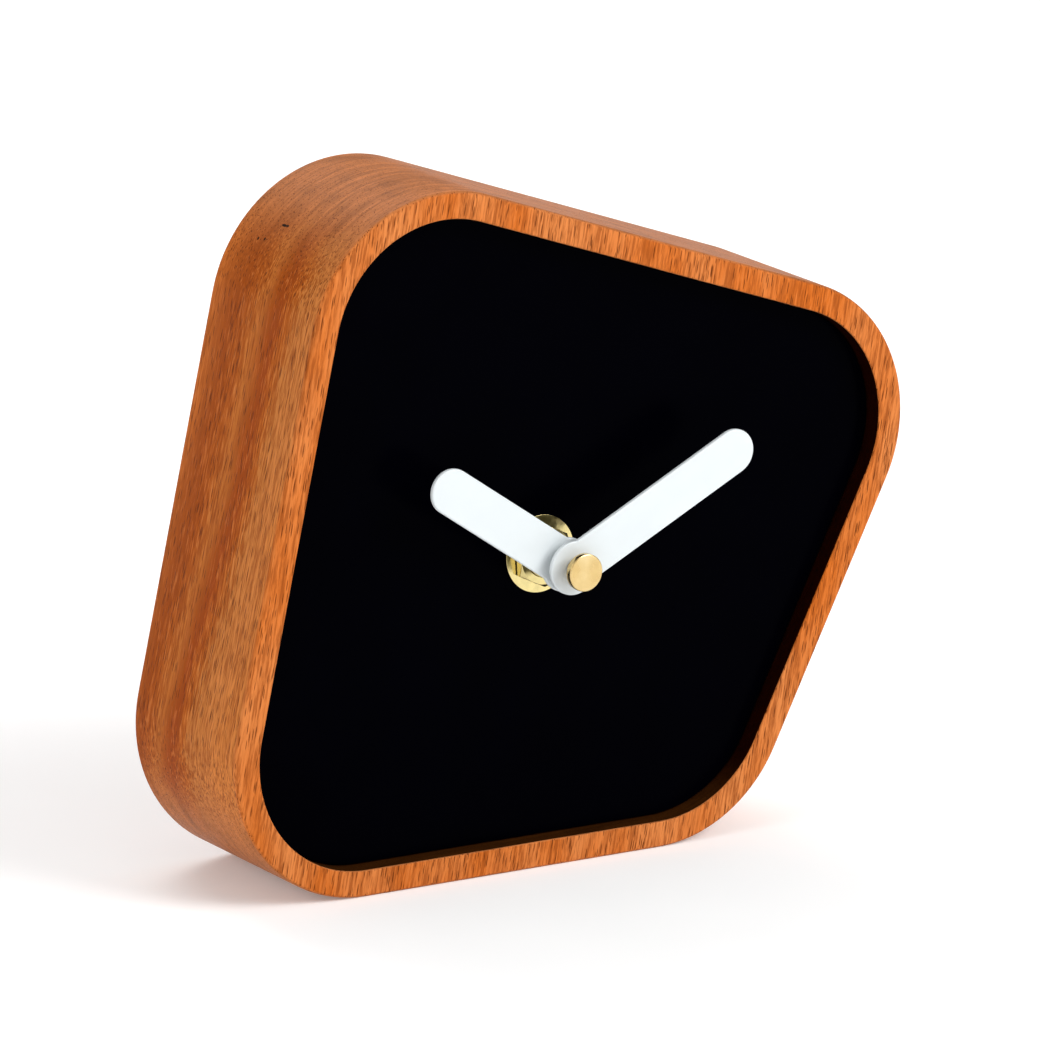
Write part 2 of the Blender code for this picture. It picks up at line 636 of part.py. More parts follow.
def make_electronics():
    board_in = (0.0095, 0.0103)
    board = plate([rectangle(-0.0250, 0.0150, -0.0065, 0.0250)], inside(board_in[0]), inside(board_in[1]))
    piece("circuit_board", board, (0.05, 0.22, 0.08), 0.5)
    can = 0.0010
    half = 0.0030
    profile = [(0.0, half), (can, half), (can, -half), (0.0, -half)]
    at = from_shaft((-0.0115, 0.0225))
    crystal = turned_across(profile, at, inside(board_in[0] - SEAT_GAP - can), steps=SMALL)
    piece("quartz_crystal", crystal, STEEL, 0.25, 1.0)
    foot = board_in[0] - SEAT_GAP
    profile = [(0.0, inside(foot - 0.0011)), (0.0012, inside(foot - 0.0009))]
    profile += [(0.0021, inside(foot - 0.0003)), (0.0023, inside(foot)), (0.0, inside(foot))]
    chip = turned_on_depth(profile, from_shaft((-0.0195, 0.0195)), SMALL)
    piece("chip_cap", chip, BLACK_PLASTIC, 0.3)


def make_contacts():
    """Spring strips at the cell's ends. Each runs up the side wall to the circuit board."""
    wall = MOVEMENT_SIZE / 2 - WALL - SEAT_GAP
    low = -0.0250
    over = 0.0253
    board_right = -0.0120
    span = (inside(0.0067), inside(0.0088))
    top = over + CONTACT_THICKNESS
    outline = [(wall - CONTACT_THICKNESS, low), (wall, low), (wall, top), (board_right, top)]
    outline += [(board_right, over), (wall - CONTACT_THICKNESS, over)]
    piece("contact_positive", plate([outline], *span), STEEL, 0.3, 1.0)
    face = -wall + CONTACT_THICKNESS
    dimple = face + 0.0010
    outline = [(-wall, low), (face, low), (face, CELL_UP - 0.0035), (dimple, CELL_UP - 0.0010)]
    outline += [(dimple, CELL_UP + 0.0010), (face, CELL_UP + 0.0035), (face, 0.0240), (-wall, 0.0240)]
    piece("contact_negative", plate([outline], *span), STEEL, 0.3, 1.0)


def make_cell(cell_body, cell_depth):
    at = from_shaft((0.0, CELL_UP))
    half = CELL_LENGTH / 2
    nub = 0.0026
    tip = half + 0.0010
    profile = [(0.0, tip), (nub, tip), (nub, half), (CELL_RADIUS, half), (CELL_RADIUS, -half), (0.0, -half)]
    piece("battery_cell", turned_across(profile, at, cell_depth), STEEL, 0.25, 1.0, cell_body)
    inner = CELL_RADIUS + SIDE_GAP
    end = half - SEAT_GAP
    profile = [(WRAP_RADIUS, end), (WRAP_RADIUS, -end), (inner, -end), (inner, end)]
    wrap = turned_across(profile, at, cell_depth, closed=True)
    piece("battery_wrap", wrap, (0.10, 0.16, 0.30), 0.3, 0.0, cell_body)


minute_body = axis("minute", SHAFT, MINUTE_HAND_DEPTH)
hour_body = axis("hour", SHAFT, HOUR_HAND_DEPTH)
motion_body = axis("motion_wheel", motion_at, inside(MOTION_IN[0]))
knob_body = axis("setting_knob", knob_at, MOVEMENT_BACK)
centre_body = axis("centre_wheel", SHAFT, inside(CENTRE_IN[0]))
third_body = axis("third_wheel", third_at, inside(THIRD_IN[0]))
seconds_body = axis("seconds_wheel", SHAFT, inside(SECONDS_IN[0]))
middle_body = axis("intermediate_wheel", middle_at, inside(MIDDLE_IN[0]))
rotor_body = axis("rotor", rotor_at, inside(MAGNET_IN[0]))
cell_centre = inside(WALL + SEAT_GAP) + WRAP_RADIUS
cell_body = axis("battery", from_shaft((0.0, CELL_UP)), cell_centre)

make_case()
make_dial()
make_fastenings()
make_hands(minute_body, hour_body)
make_motion_work(minute_body, hour_body, motion_body, knob_body)
make_going_train(centre_body, third_body, seconds_body, middle_body, rotor_body)
make_movement_case()
make_movement_cover()
make_middle_plate()
make_motor()
make_electronics()
make_contacts()
make_cell(cell_body, cell_centre)
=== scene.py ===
import json
import math
import bmesh
import bpy
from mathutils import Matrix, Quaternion, Vector


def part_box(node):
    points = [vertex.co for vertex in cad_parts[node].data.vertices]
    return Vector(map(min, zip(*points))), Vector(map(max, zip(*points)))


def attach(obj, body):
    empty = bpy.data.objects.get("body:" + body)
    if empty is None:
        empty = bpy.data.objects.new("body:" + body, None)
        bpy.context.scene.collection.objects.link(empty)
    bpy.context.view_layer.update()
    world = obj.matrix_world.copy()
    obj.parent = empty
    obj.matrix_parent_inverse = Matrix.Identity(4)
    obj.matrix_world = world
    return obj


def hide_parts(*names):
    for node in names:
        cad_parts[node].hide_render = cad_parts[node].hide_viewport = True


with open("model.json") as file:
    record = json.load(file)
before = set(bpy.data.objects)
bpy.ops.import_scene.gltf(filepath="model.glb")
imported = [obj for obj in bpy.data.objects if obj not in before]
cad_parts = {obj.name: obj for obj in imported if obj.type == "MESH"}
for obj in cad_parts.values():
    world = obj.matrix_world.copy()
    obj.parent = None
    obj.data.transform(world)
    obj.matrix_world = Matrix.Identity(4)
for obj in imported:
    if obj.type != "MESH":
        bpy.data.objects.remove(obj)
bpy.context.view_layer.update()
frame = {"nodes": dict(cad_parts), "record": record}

print("frame loaded with", len(frame["nodes"]), "nodes")


near = 0.00001  # closer than this counts as touching
weldGap = 0.000002
past = 0.001  # how far a cutter reaches past what it cuts


# selecting, editing and finishing, used by every piece
def onlyPick(obj):
    if bpy.context.mode != "OBJECT":
        bpy.ops.object.mode_set(mode="OBJECT")
    bpy.ops.object.select_all(action="DESELECT")
    obj.select_set(True)
    bpy.context.view_layer.objects.active = obj


def startEdit(obj):
    onlyPick(obj)
    bpy.ops.object.mode_set(mode="EDIT")


def endEdit():
    bpy.ops.object.mode_set(mode="OBJECT")


def pick(obj, kind, test):
    # selects only the faces, edges or points that the test accepts
    bpy.ops.mesh.select_mode(type=kind)
    bpy.ops.mesh.select_all(action="DESELECT")
    mesh = bmesh.from_edit_mesh(obj.data)
    items = {"FACE": mesh.faces, "EDGE": mesh.edges, "VERT": mesh.verts}[kind]
    for item in items:
        if test(item):
            item.select_set(True)
    bmesh.update_edit_mesh(obj.data)


def middle(item):
    if isinstance(item, bmesh.types.BMEdge):
        return (item.verts[0].co + item.verts[1].co) / 2
    return item.calc_center_median()


def extrude(x=0.0, y=0.0, z=0.0):
    bpy.ops.mesh.extrude_region_move(TRANSFORM_OT_translate={"value": (x, y, z)})


def turnAbout(angle, centre):
    # turns the whole mesh in edit mode about a line that runs from front to back
    bpy.ops.mesh.select_all(action="SELECT")
    bpy.ops.transform.rotate(value=angle, orient_axis="Y", orient_type="GLOBAL", center_override=centre)


def modify(obj, kind, **settings):
    modifier = obj.modifiers.new(kind.title(), kind)
    for key, value in settings.items():
        setattr(modifier, key, value)
    onlyPick(obj)
    bpy.ops.object.modifier_apply(modifier=modifier.name)


def cutWith(obj, cutter, operation="DIFFERENCE"):
    modify(obj, "BOOLEAN", operation=operation, object=cutter, solver="EXACT")
    bpy.data.objects.remove(cutter, do_unlink=True)


def cleanUp(obj):
    # place goes into the mesh, doubles are merged and faces turned outwards
    onlyPick(obj)
    bpy.ops.object.transform_apply(location=True, rotation=True, scale=True)
    bpy.ops.object.mode_set(mode="EDIT")
    bpy.ops.mesh.select_all(action="SELECT")
    bpy.ops.mesh.remove_doubles(threshold=weldGap)
    bpy.ops.mesh.normals_make_consistent(inside=False)
    bpy.ops.object.mode_set(mode="OBJECT")


def finishPiece(obj, name, body, surfaces, standsFor=(), angle=38):
    cleanUp(obj)
    obj.name = name
    obj.data.name = name
    bpy.ops.object.shade_smooth_by_angle(angle=math.radians(angle))
    modify(obj, "WEIGHTED_NORMAL", keep_sharp=True)
    if not obj.data.materials:
        for surface in surfaces:
            obj.data.materials.append(surface)
    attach(obj, body)
    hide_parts(*standsFor)
    return obj


shaftLow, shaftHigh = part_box("fixing_washer")
shaftX = (shaftLow.x + shaftHigh.x) / 2
shaftZ = (shaftLow.z + shaftHigh.z) / 2
caseLow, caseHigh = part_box("wood_case")
rimY = caseLow.y
backY = caseHigh.y


def fromShaft(point):
    return math.hypot(point.x - shaftX, point.z - shaftZ)


def addPoint(place):
    # a small plane merged to its middle gives one point to draw from
    bpy.ops.object.select_all(action="DESELECT")
    bpy.ops.mesh.primitive_plane_add(size=0.001, location=place)
    point = bpy.context.object
    bpy.ops.object.transform_apply(location=True)
    bpy.ops.object.mode_set(mode="EDIT")
    bpy.ops.mesh.select_mode(type="VERT")
    bpy.ops.mesh.select_all(action="SELECT")
    bpy.ops.mesh.merge(type="CENTER")
    return point


def drawLoop(arcs, y):
    # one point is spun round each arc in turn and carried on to the next, then the loop is filled;
    # an arc is (centre x, centre z, radius, start angle, turn, steps)
    def place(arc):
        x, z, radius, start = arc[:4]
        return Vector((x + radius * math.cos(start), y, z + radius * math.sin(start)))

    loop = addPoint(place(arcs[0]))
    here = place(arcs[0])
    for arc in list(arcs) + [arcs[0]]:
        step = place(arc) - here
        moved = step.length > weldGap / 2
        if moved:
            extrude(*step)
        here = place(arc)
        if arc is arcs[0] and moved:
            break
        x, z, radius, start, turn, steps = arc
        bpy.ops.mesh.spin(steps=steps, angle=turn, center=(x, y, z), axis=(0, 1, 0))
        here = place((x, z, radius, start + turn))
    bpy.ops.mesh.select_all(action="SELECT")
    bpy.ops.mesh.remove_doubles(threshold=weldGap)
    bpy.ops.mesh.edge_face_add()
    return loop


def drawPlate(arcs, front, back):
    plate = drawLoop(arcs, front)
    extrude(y=back - front)
    bpy.ops.mesh.select_all(action="SELECT")
    bpy.ops.mesh.normals_make_consistent(inside=False)
    return plate


def addRound(radius, depth, location, rotation, vertices):
    bpy.ops.object.select_all(action="DESELECT")
    bpy.ops.mesh.primitive_cylinder_add(
        vertices=vertices, radius=radius, depth=depth, location=location, rotation=rotation)
    bpy.ops.object.transform_apply(location=True, rotation=True)
    return bpy.context.object


def addCylinder(radius, front, back, x=shaftX, z=shaftZ, vertices=96):
    return addRound(radius, back - front, (x, (front + back) / 2, z), (math.pi / 2, 0, 0), vertices)


def addBar(radius, left, right, y, z, vertices=96):
    return addRound(radius, right - left, ((left + right) / 2, y, z), (0, math.pi / 2, 0), vertices)


def addBlock(low, high):
    bpy.ops.object.select_all(action="DESELECT")
    bpy.ops.mesh.primitive_cube_add(size=1, location=tuple((a + b) / 2 for a, b in zip(low, high)))
    block = bpy.context.object
    block.scale = tuple(b - a for a, b in zip(low, high))
    bpy.ops.object.transform_apply(location=True, scale=True)
    return block


def turnSection(points, steps=64):
    # a closed section of (radius, y) points is drawn beside the shaft and spun round it
    turned = addPoint((shaftX + points[0][0], points[0][1], shaftZ))
    for start, end in zip(points, points[1:] + points[:1]):
        extrude(end[0] - start[0], end[1] - start[1])
    bpy.ops.mesh.select_all(action="SELECT")
    bpy.ops.mesh.remove_doubles(threshold=weldGap)
    bpy.ops.mesh.spin(steps=steps, angle=2 * math.pi, center=(shaftX, 0, shaftZ), axis=(0, 1, 0))
    bpy.ops.object.mode_set(mode="OBJECT")
    return turned


def copyNode(name):
    # a frame part is loose triangles, so its copy is merged and its flat faces joined
    onlyPick(frame["nodes"][name])
    bpy.ops.object.duplicate()
    copy = bpy.context.object
    copy.data.materials.clear()
    startEdit(copy)
    bpy.ops.mesh.select_all(action="SELECT")
    bpy.ops.mesh.remove_doubles(threshold=weldGap)
    bpy.ops.mesh.dissolve_limited(angle_limit=math.radians(1))
    endEdit()
    return copy


def boreThrough(obj, inset, axis="y"):
    # both round ends are inset to the bore and the two holes joined
    startEdit(obj)
    pick(obj, "FACE", lambda face: abs(getattr(face.normal, axis)) > 0.99 and len(face.verts) > 8)
    bpy.ops.mesh.inset(thickness=inset, use_individual=True)
    bpy.ops.mesh.bridge_edge_loops()
    endEdit()


def roundEdges(obj, test, width, segments=3):
    startEdit(obj)
    pick(obj, "EDGE", test)
    bpy.ops.mesh.bevel(offset=width, offset_type="OFFSET", segments=segments, profile=0.5, affect="EDGES")
    endEdit()


def sharp(edge, degrees=40):
    return len(edge.link_faces) == 2 and edge.calc_face_angle(0) > math.radians(degrees)


def runInDepth(edge):
    return abs(edge.verts[0].co.y - edge.verts[1].co.y)


def liesAt(edge, y):
    return all(abs(v.co.y - y) < 2 * near for v in edge.verts)


# shader nodes in short
def newMaterial(name):
    material = bpy.data.materials.new(name)
    material.use_nodes = True
    nodes, links = material.node_tree.nodes, material.node_tree.links
    nodes.clear()
    shader = nodes.new("ShaderNodeBsdfPrincipled")
    output = nodes.new("ShaderNodeOutputMaterial")
    links.new(shader.outputs["BSDF"], output.inputs["Surface"])
    return material, nodes, links, shader


def mapped(nodes, links, scale, turn=(0, 0, 0)):
    where = nodes.new("ShaderNodeTexCoord")
    mapping = nodes.new("ShaderNodeMapping")
    mapping.inputs["Rotation"].default_value = turn
    links.new(where.outputs["Object"], mapping.inputs["Vector"])
    stretch = nodes.new("ShaderNodeMapping")
    stretch.inputs["Scale"].default_value = scale
    links.new(mapping.outputs["Vector"], stretch.inputs["Vector"])
    return stretch.outputs["Vector"]


def noise(nodes, links, scale, detail=2.0, rough=0.5, turn=(0, 0, 0)):
    texture = nodes.new("ShaderNodeTexNoise")
    texture.inputs["Scale"].default_value = 1.0
    texture.inputs["Detail"].default_value = detail
    texture.inputs["Roughness"].default_value = rough
    links.new(mapped(nodes, links, scale, turn), texture.inputs["Vector"])
    return texture.outputs["Fac"]


def ranged(nodes, links, value, low, high, outLow=0.0, outHigh=1.0):
    spread = nodes.new("ShaderNodeMapRange")
    spread.interpolation_type = "SMOOTHSTEP"
    links.new(value, spread.inputs["Value"])
    for key, number in zip(("From Min", "From Max", "To Min", "To Max"), (low, high, outLow, outHigh)):
        spread.inputs[key].default_value = number
    return spread.outputs["Result"]


def ramp(nodes, links, value, stops):
    colours = nodes.new("ShaderNodeValToRGB")
    links.new(value, colours.inputs["Fac"])
    elements = colours.color_ramp.elements
    elements[0].position, elements[0].color = stops[0][0], (*stops[0][1], 1)
    elements[1].position, elements[1].color = stops[-1][0], (*stops[-1][1], 1)
    for position, colour in stops[1:-1]:
        elements.new(position).color = (*colour, 1)
    return colours.outputs["Color"]


def mixColour(nodes, links, share, first, second, blend="MIX"):
    mix = nodes.new("ShaderNodeMix")
    mix.data_type = "RGBA"
    mix.blend_type = blend
    for socket, value in ((mix.inputs[0], share), (mix.inputs[6], first), (mix.inputs[7], second)):
        if isinstance(value, bpy.types.NodeSocket):
            links.new(value, socket)
        elif isinstance(value, tuple):
            socket.default_value = (*value, 1)
        else:
            socket.default_value = value
    return mix.outputs[2]


def maths(nodes, links, operation, first, second=0.0, clamp=False):
    node = nodes.new("ShaderNodeMath")
    node.operation = operation
    node.use_clamp = clamp
    for socket, value in zip(node.inputs, (first, second)):
        if isinstance(value, bpy.types.NodeSocket):
            links.new(value, socket)
        else:
            socket.default_value = value
    return node.outputs[0]


def addBump(nodes, links, shader, height, distance, strength=1.0):
    bump = nodes.new("ShaderNodeBump")
    bump.inputs["Strength"].default_value = strength
    bump.inputs["Distance"].default_value = distance
    links.new(height, bump.inputs["Height"])
    links.new(bump.outputs["Normal"], shader.inputs["Normal"])


def coordinates(nodes, links, output="Object"):
    where = nodes.new("ShaderNodeTexCoord")
    split = nodes.new("ShaderNodeSeparateXYZ")
    links.new(where.outputs[output], split.inputs["Vector"])
    return split.outputs


def tinted(colour, factor):
    return tuple(min(1.0, channel * factor) for channel in colour)


def simpleFinish(name, look):
    # moulded or machined finish: a base colour with faint mottling, uneven polish and a fine surface
    material, nodes, links, shader = newMaterial(name)
    mottle = noise(nodes, links, (look["mottle"],) * 3, 3)
    dark = tinted(look["colour"], 1 - look["vary"])
    light = tinted(look["colour"], 1 + look["vary"])
    links.new(ramp(nodes, links, mottle, ((0.3, dark), (0.7, light))), shader.inputs["Base Color"])
    polish = ranged(nodes, links, mottle, 0.3, 0.7, *look["rough"])
    links.new(polish, shader.inputs["Roughness"])
    shader.inputs["Metallic"].default_value = look.get("metal", 0.0)
    shader.inputs["Specular IOR Level"].default_value = look.get("specular", 0.5)
    grain = noise(nodes, links, look["grain"], 2)
    addBump(nodes, links, shader, grain, look["bump"])
    return material


# beech: colours run back in depth from the front face, patterns are (scale, detail, roughness)
beechLook = {
    "grainLean": math.radians(9.0),
    "bandDrift": 2.9,
    "bandMiddle": 0.075,
    "bands": (
        (0.00, (0.58, 0.190, 0.038)),
        (0.08, (0.55, 0.185, 0.042)),
        (0.27, (0.49, 0.165, 0.034)),
        (0.34, (0.44, 0.108, 0.009)),
        (0.44, (0.29, 0.046, 0.001)),
        (0.52, (0.33, 0.064, 0.002)),
        (0.61, (0.47, 0.140, 0.022)),
        (0.72, (0.38, 0.084, 0.006)),
        (0.82, (0.30, 0.056, 0.002)),
        (0.93, (0.39, 0.090, 0.010)),
        (1.00, (0.52, 0.135, 0.020)),
    ),
    "paleFront": (0.65, 0.212, 0.056),
    "redFront": (0.57, 0.132, 0.014),
    "shade": (0.24, 0.050, 0.006),
    "fleck": (0.090, 0.016, 0.001),
    "endGrain": (0.45, 0.150, 0.045),
    "fleckCell": (0.00042, 0.00042, 0.0050),
    "fleckReach": (0.23, 0.285),
    "fleckEdge": (-0.03, 0.06),
    "fleckStrength": 0.85,
    "thick": ((1100, 1100, 130), 2, 0.5),
    "fibre": ((2600, 2600, 210), 3, 0.6),
    "streak": ((1000, 900, 38), 3, 0.6),
    "cloud": ((75, 75, 22), 3, 0.5),
    "sway": ((160, 40, 14), 3, 0.6),
    "layers": ((45, 1300, 45), 3, 0.65),
    "smoke": ((130, 260, 130), 4, 0.6),
    "dash": ((420, 2400, 420), 2, 0.6),
    "bandSway": 0.35,
    "bandTear": 0.35,
    "frontSkin": (0.015, 0.03),
    "streakShade": (0.45, 0.75, 0.0, 0.50),
    "fibreShade": (0.42, 0.64, 0.0, 0.66),
    "fibreShine": (0.47, 0.30, 0.0, 0.40),
    "endFacing": (0.30, 0.85),
    "smokeShade": (0.45, 0.75, 0.0, 0.65),
    "dashShade": (0.48, 0.72, 0.0, 0.42),
    "rough": (0.36, 0.50),
    "specular": 0.04,
    "bump": 0.00005,
    # painted light: a lighter colour laid on recess walls that face up, and how far up they must face
    "upFacingPaintedLight": (0.095, 0.085, 0.045),
    "paintedLightFacing": (0.55, 0.95),
    "knotColour": (0.012, 0.006, 0.003),
    "knots": (((-0.0505, 0.0114, 0.12420), (0.0005, 0.0010, 0.0003)),
              ((-0.0503, 0.0104, 0.12416), (0.0003, 0.0006, 0.0004)),
              ((-0.0531, 0.0163, 0.1210), (0.0004, 0.0003, 0.0004)),
              ((-0.0529, 0.0143, 0.1213), (0.0004, 0.0003, 0.0004))),
}


def beechFinish(name, look, stain=None):
    material, nodes, links, shader = newMaterial(name)
    lean = look["grainLean"]
    turn = (0, -lean, 0)
    where = nodes.new("ShaderNodeTexCoord")
    place = coordinates(nodes, links)

    def pattern(key, turn=turn):
        return noise(nodes, links, *look[key], turn)

    def shaded(colour, value, key, second):
        return mixColour(nodes, links, ranged(nodes, links, value, *look[key]), colour, second)

    # rays show as short dark flecks along the grain
    voronoi = nodes.new("ShaderNodeTexVoronoi")
    voronoi.inputs["Scale"].default_value = 1.0
    links.new(mapped(nodes, links, tuple(1 / c for c in look["fleckCell"]), turn), voronoi.inputs["Vector"])
    reach = ranged(nodes, links, pattern("thick"), 0.30, 0.70, *look["fleckReach"])
    fleck = maths(nodes, links, "SUBTRACT", reach, voronoi.outputs["Distance"])
    fleck = ranged(nodes, links, fleck, *look["fleckEdge"])
    fibre = pattern("fibre")
    # growth layers lie one behind the other, so the colour changes with depth
    depth = maths(nodes, links, "SUBTRACT", place["Y"], rimY)
    depth = maths(nodes, links, "DIVIDE", depth, backY - rimY)
    drift = maths(nodes, links, "SUBTRACT", place["Z"], look["bandMiddle"])
    bandPlace = maths(nodes, links, "ADD", depth, maths(nodes, links, "MULTIPLY", drift, look["bandDrift"]))
    for value, amount in ((pattern("sway"), look["bandSway"]), (fibre, look["bandTear"])):
        offset = maths(nodes, links, "SUBTRACT", value, 0.5)
        bandPlace = maths(nodes, links, "ADD", bandPlace, maths(nodes, links, "MULTIPLY", offset, amount))
    base = ramp(nodes, links, bandPlace, look["bands"])
    front = ramp(nodes, links, pattern("cloud"), ((0.36, look["redFront"]), (0.62, look["paleFront"])))
    base = mixColour(nodes, links, ranged(nodes, links, depth, *look["frontSkin"], 1.0, 0.0), base, front)
    base = shaded(base, pattern("streak"), "streakShade", look["shade"])
    base = shaded(base, fibre, "fibreShade", look["shade"])
    base = shaded(base, fibre, "fibreShine", look["paleFront"])
    # wood cut across the grain is duller, with its layers as fine lines and smoky patches
    along = nodes.new("ShaderNodeVectorMath")
    along.operation = "DOT_PRODUCT"
    along.inputs[1].default_value = (math.sin(lean), 0, math.cos(lean))
    links.new(where.outputs["Normal"], along.inputs[0])
    across = maths(nodes, links, "ABSOLUTE", along.outputs["Value"])
    across = ranged(nodes, links, across, *look["endFacing"])
    level = (0, 0, 0)
    grey = look["endGrain"]
    layers = ((0.30, tinted(grey, 0.70)), (0.70, tinted(grey, 1.30)))
    ends = ramp(nodes, links, pattern("layers", level), layers)
    ends = shaded(ends, pattern("smoke", level), "smokeShade", tinted(grey, 0.45))
    ends = shaded(ends, pattern("dash", level), "dashShade", tinted(grey, 0.50))
    base = mixColour(nodes, links, across, base, ends)
    fleckShare = maths(nodes, links, "MULTIPLY", fleck, look["fleckStrength"])
    base = mixColour(nodes, links, fleckShare, base, look["fleck"])
    for centre, size in look["knots"]:
        centred = nodes.new("ShaderNodeMapping")
        centred.inputs["Location"].default_value = tuple(-p / r for p, r in zip(centre, size))
        centred.inputs["Scale"].default_value = tuple(1 / r for r in size)
        links.new(where.outputs["Object"], centred.inputs["Vector"])
        gap = nodes.new("ShaderNodeVectorMath")
        gap.operation = "LENGTH"
        links.new(centred.outputs["Vector"], gap.inputs[0])
        hole = ranged(nodes, links, gap.outputs["Value"], 0.6, 1.0, 1.0, 0.0)
        base = mixColour(nodes, links, hole, base, look["knotColour"])
    if stain:
        # the black stain is painted lighter where the wall faces up: painted light from above on the
        # up-facing recess wall
        facingUp = coordinates(nodes, links, "Normal")["Z"]
        paintedLightShare = ranged(nodes, links, facingUp, *look["paintedLightFacing"])
        stainAndPaintedLight = mixColour(nodes, links, paintedLightShare, stain, look["upFacingPaintedLight"])
        base = mixColour(nodes, links, 1.0, base, stainAndPaintedLight, "MULTIPLY")
    links.new(base, shader.inputs["Base Color"])
    links.new(ranged(nodes, links, fibre, 0.3, 0.7, *look["rough"]), shader.inputs["Roughness"])
    shader.inputs["Specular IOR Level"].default_value = look["specular"]
    raised = maths(nodes, links, "MULTIPLY", fibre, 0.7)
    height = maths(nodes, links, "SUBTRACT", raised, maths(nodes, links, "MULTIPLY", fleck, 0.6))
    addBump(nodes, links, shader, height, look["bump"], 0.6)
    return material


beech = beechFinish("oiledBeech", beechLook)
stainedBeech = beechFinish("blackStainedBeech", beechLook, stain=(0.022, 0.007, 0.001))
print("beech ready")

# the wooden case; corners are (across, up) in metres from its lower left one
caseSettings = {
    "corners": ((0.0, 0.0), (0.1188, 0.0), (0.1651, 0.0956), (0.0286, 0.1420)),
    "shaftFromCorner": 0.0742,
    "cornerRadius": 0.0288,
    "cornerSteps": 36,
    "rimWidth": 0.0052,
    "recessDepth": 0.0062,
    "outerArris": 0.0007,
    "innerArris": 0.0003,
    "pocketSize": 0.0580,
    "pocketCorner": 0.0025,
    "pocketDepth": 0.0268,
    "pocketArris": 0.0004,
    "boreRadius": 0.0045,
}


def caseArcs(inset):
    corners = caseSettings["corners"]
    radius = caseSettings["cornerRadius"]
    left = shaftX - caseSettings["shaftFromCorner"]
    sides = []
    for (x0, z0), (x1, z1) in zip(corners, corners[1:] + corners[:1]):
        length = math.hypot(x1 - x0, z1 - z0)
        inward = ((z0 - z1) / length, (x1 - x0) / length)
        sides.append((inward, inward[0] * x0 + inward[1] * z0 + radius))
    arcs = []
    for index in range(4):
        (a, p), (b, q) = sides[index - 1], sides[index]
        cross = a[0] * b[1] - a[1] * b[0]
        x = (p * b[1] - q * a[1]) / cross
        z = (q * a[0] - p * b[0]) / cross
        start = math.atan2(-a[1], -a[0])
        turn = (math.atan2(-b[1], -b[0]) - start) % (2 * math.pi)
        arcs.append((left + x, z, radius - inset, start, turn, caseSettings["cornerSteps"]))
    return arcs


def squareArcs(size, radius, steps):
    half = size / 2 - radius
    quarters = enumerate(((half, half), (-half, half), (-half, -half), (half, -half)))
    return [(shaftX + x, shaftZ + z, radius, n * math.pi / 2, math.pi / 2, steps) for n, (x, z) in quarters]


def makeCase():
    s = caseSettings
    case = drawPlate(caseArcs(0), rimY, backY)
    pick(case, "FACE", lambda face: face.normal.y < -0.99)
    bpy.ops.mesh.inset(thickness=s["rimWidth"], use_even_offset=True)
    extrude(y=s["recessDepth"])

    def atWall(edge, y):
        # an edge where the face at this depth meets a wall
        start = edge.verts[0].co.y
        wall = min(abs(face.normal.y) for face in edge.link_faces)
        return runInDepth(edge) < near and abs(start - y) < near and wall < 0.1 and sharp(edge)

    pick(case, "EDGE", lambda edge: atWall(edge, backY))
    bpy.ops.mesh.bevel(offset=s["outerArris"], segments=4, affect="EDGES")

    def rimEdge(edge, inside):
        if not atWall(edge, rimY):
            return False
        wall = min(edge.link_faces, key=lambda face: abs(face.normal.y))
        deep = max(v.co.y for v in wall.verts)
        return (deep < rimY + s["recessDepth"] + near) == inside

    pick(case, "EDGE", lambda edge: rimEdge(edge, False))
    bpy.ops.mesh.bevel(offset=s["outerArris"], segments=4, affect="EDGES")
    pick(case, "EDGE", lambda edge: rimEdge(edge, True))
    bpy.ops.mesh.bevel(offset=s["innerArris"], segments=3, affect="EDGES")
    endEdit()
    pocketFloor = backY - s["pocketDepth"]
    pocket = drawPlate(squareArcs(s["pocketSize"], s["pocketCorner"], 8), pocketFloor, backY + 2 * past)
    endEdit()
    cutWith(case, pocket)
    cutWith(case, addCylinder(s["boreRadius"], rimY, backY, vertices=48))
    # a circle of this reach holds the pocket's corners and none of the outline
    pocketReach = s["pocketSize"] * 0.75
    roundEdges(case, lambda edge: abs(middle(edge).y - backY) < near and fromShaft(middle(edge)) < pocketReach
               and sharp(edge), s["pocketArris"], 2)
    case.data.materials.append(beech)
    case.data.materials.append(stainedBeech)
    floor = rimY + s["recessDepth"]
    for face in case.data.polygons:
        depths = [case.data.vertices[i].co.y for i in face.vertices]
        facesIn = face.normal.x * (shaftX - face.center.x) + face.normal.z * (shaftZ - face.center.z) > -near
        inRecess = max(depths) < floor + near and min(depths) > rimY + s["innerArris"] * 0.6
        if inRecess and facesIn:
            face.material_index = 1
    finishPiece(case, "beechCase", "case", (), ["wood_case"], 35)


makeCase()
print("case made")

# the dial
dialSettings = {"gap": 0.0003, "arris": 0.00012, "bore": 0.0043}
dialLook = {"colour": (0.0002, 0.0002, 0.0010), "vary": 0.15, "mottle": 60, "rough": (0.20, 0.26),
            "specular": 0.005, "grain": (1500, 1500, 1500), "bump": 0.000001}
dialBlack = simpleFinish("glossBlack", dialLook)


def makeDial():
    s = dialSettings
    front, back = (corner.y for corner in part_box("dial_plate"))
    dial = drawPlate(caseArcs(caseSettings["rimWidth"] + s["gap"]), front, back)
    endEdit()
    cutWith(dial, addCylinder(s["bore"], front - past, back + past, vertices=48))
    roundEdges(dial, lambda edge: abs(middle(edge).y - front) < near and sharp(edge), s["arris"], 2)
    finishPiece(dial, "blackDial", "case", [dialBlack], ["dial_plate"])


makeDial()
print("dial made")

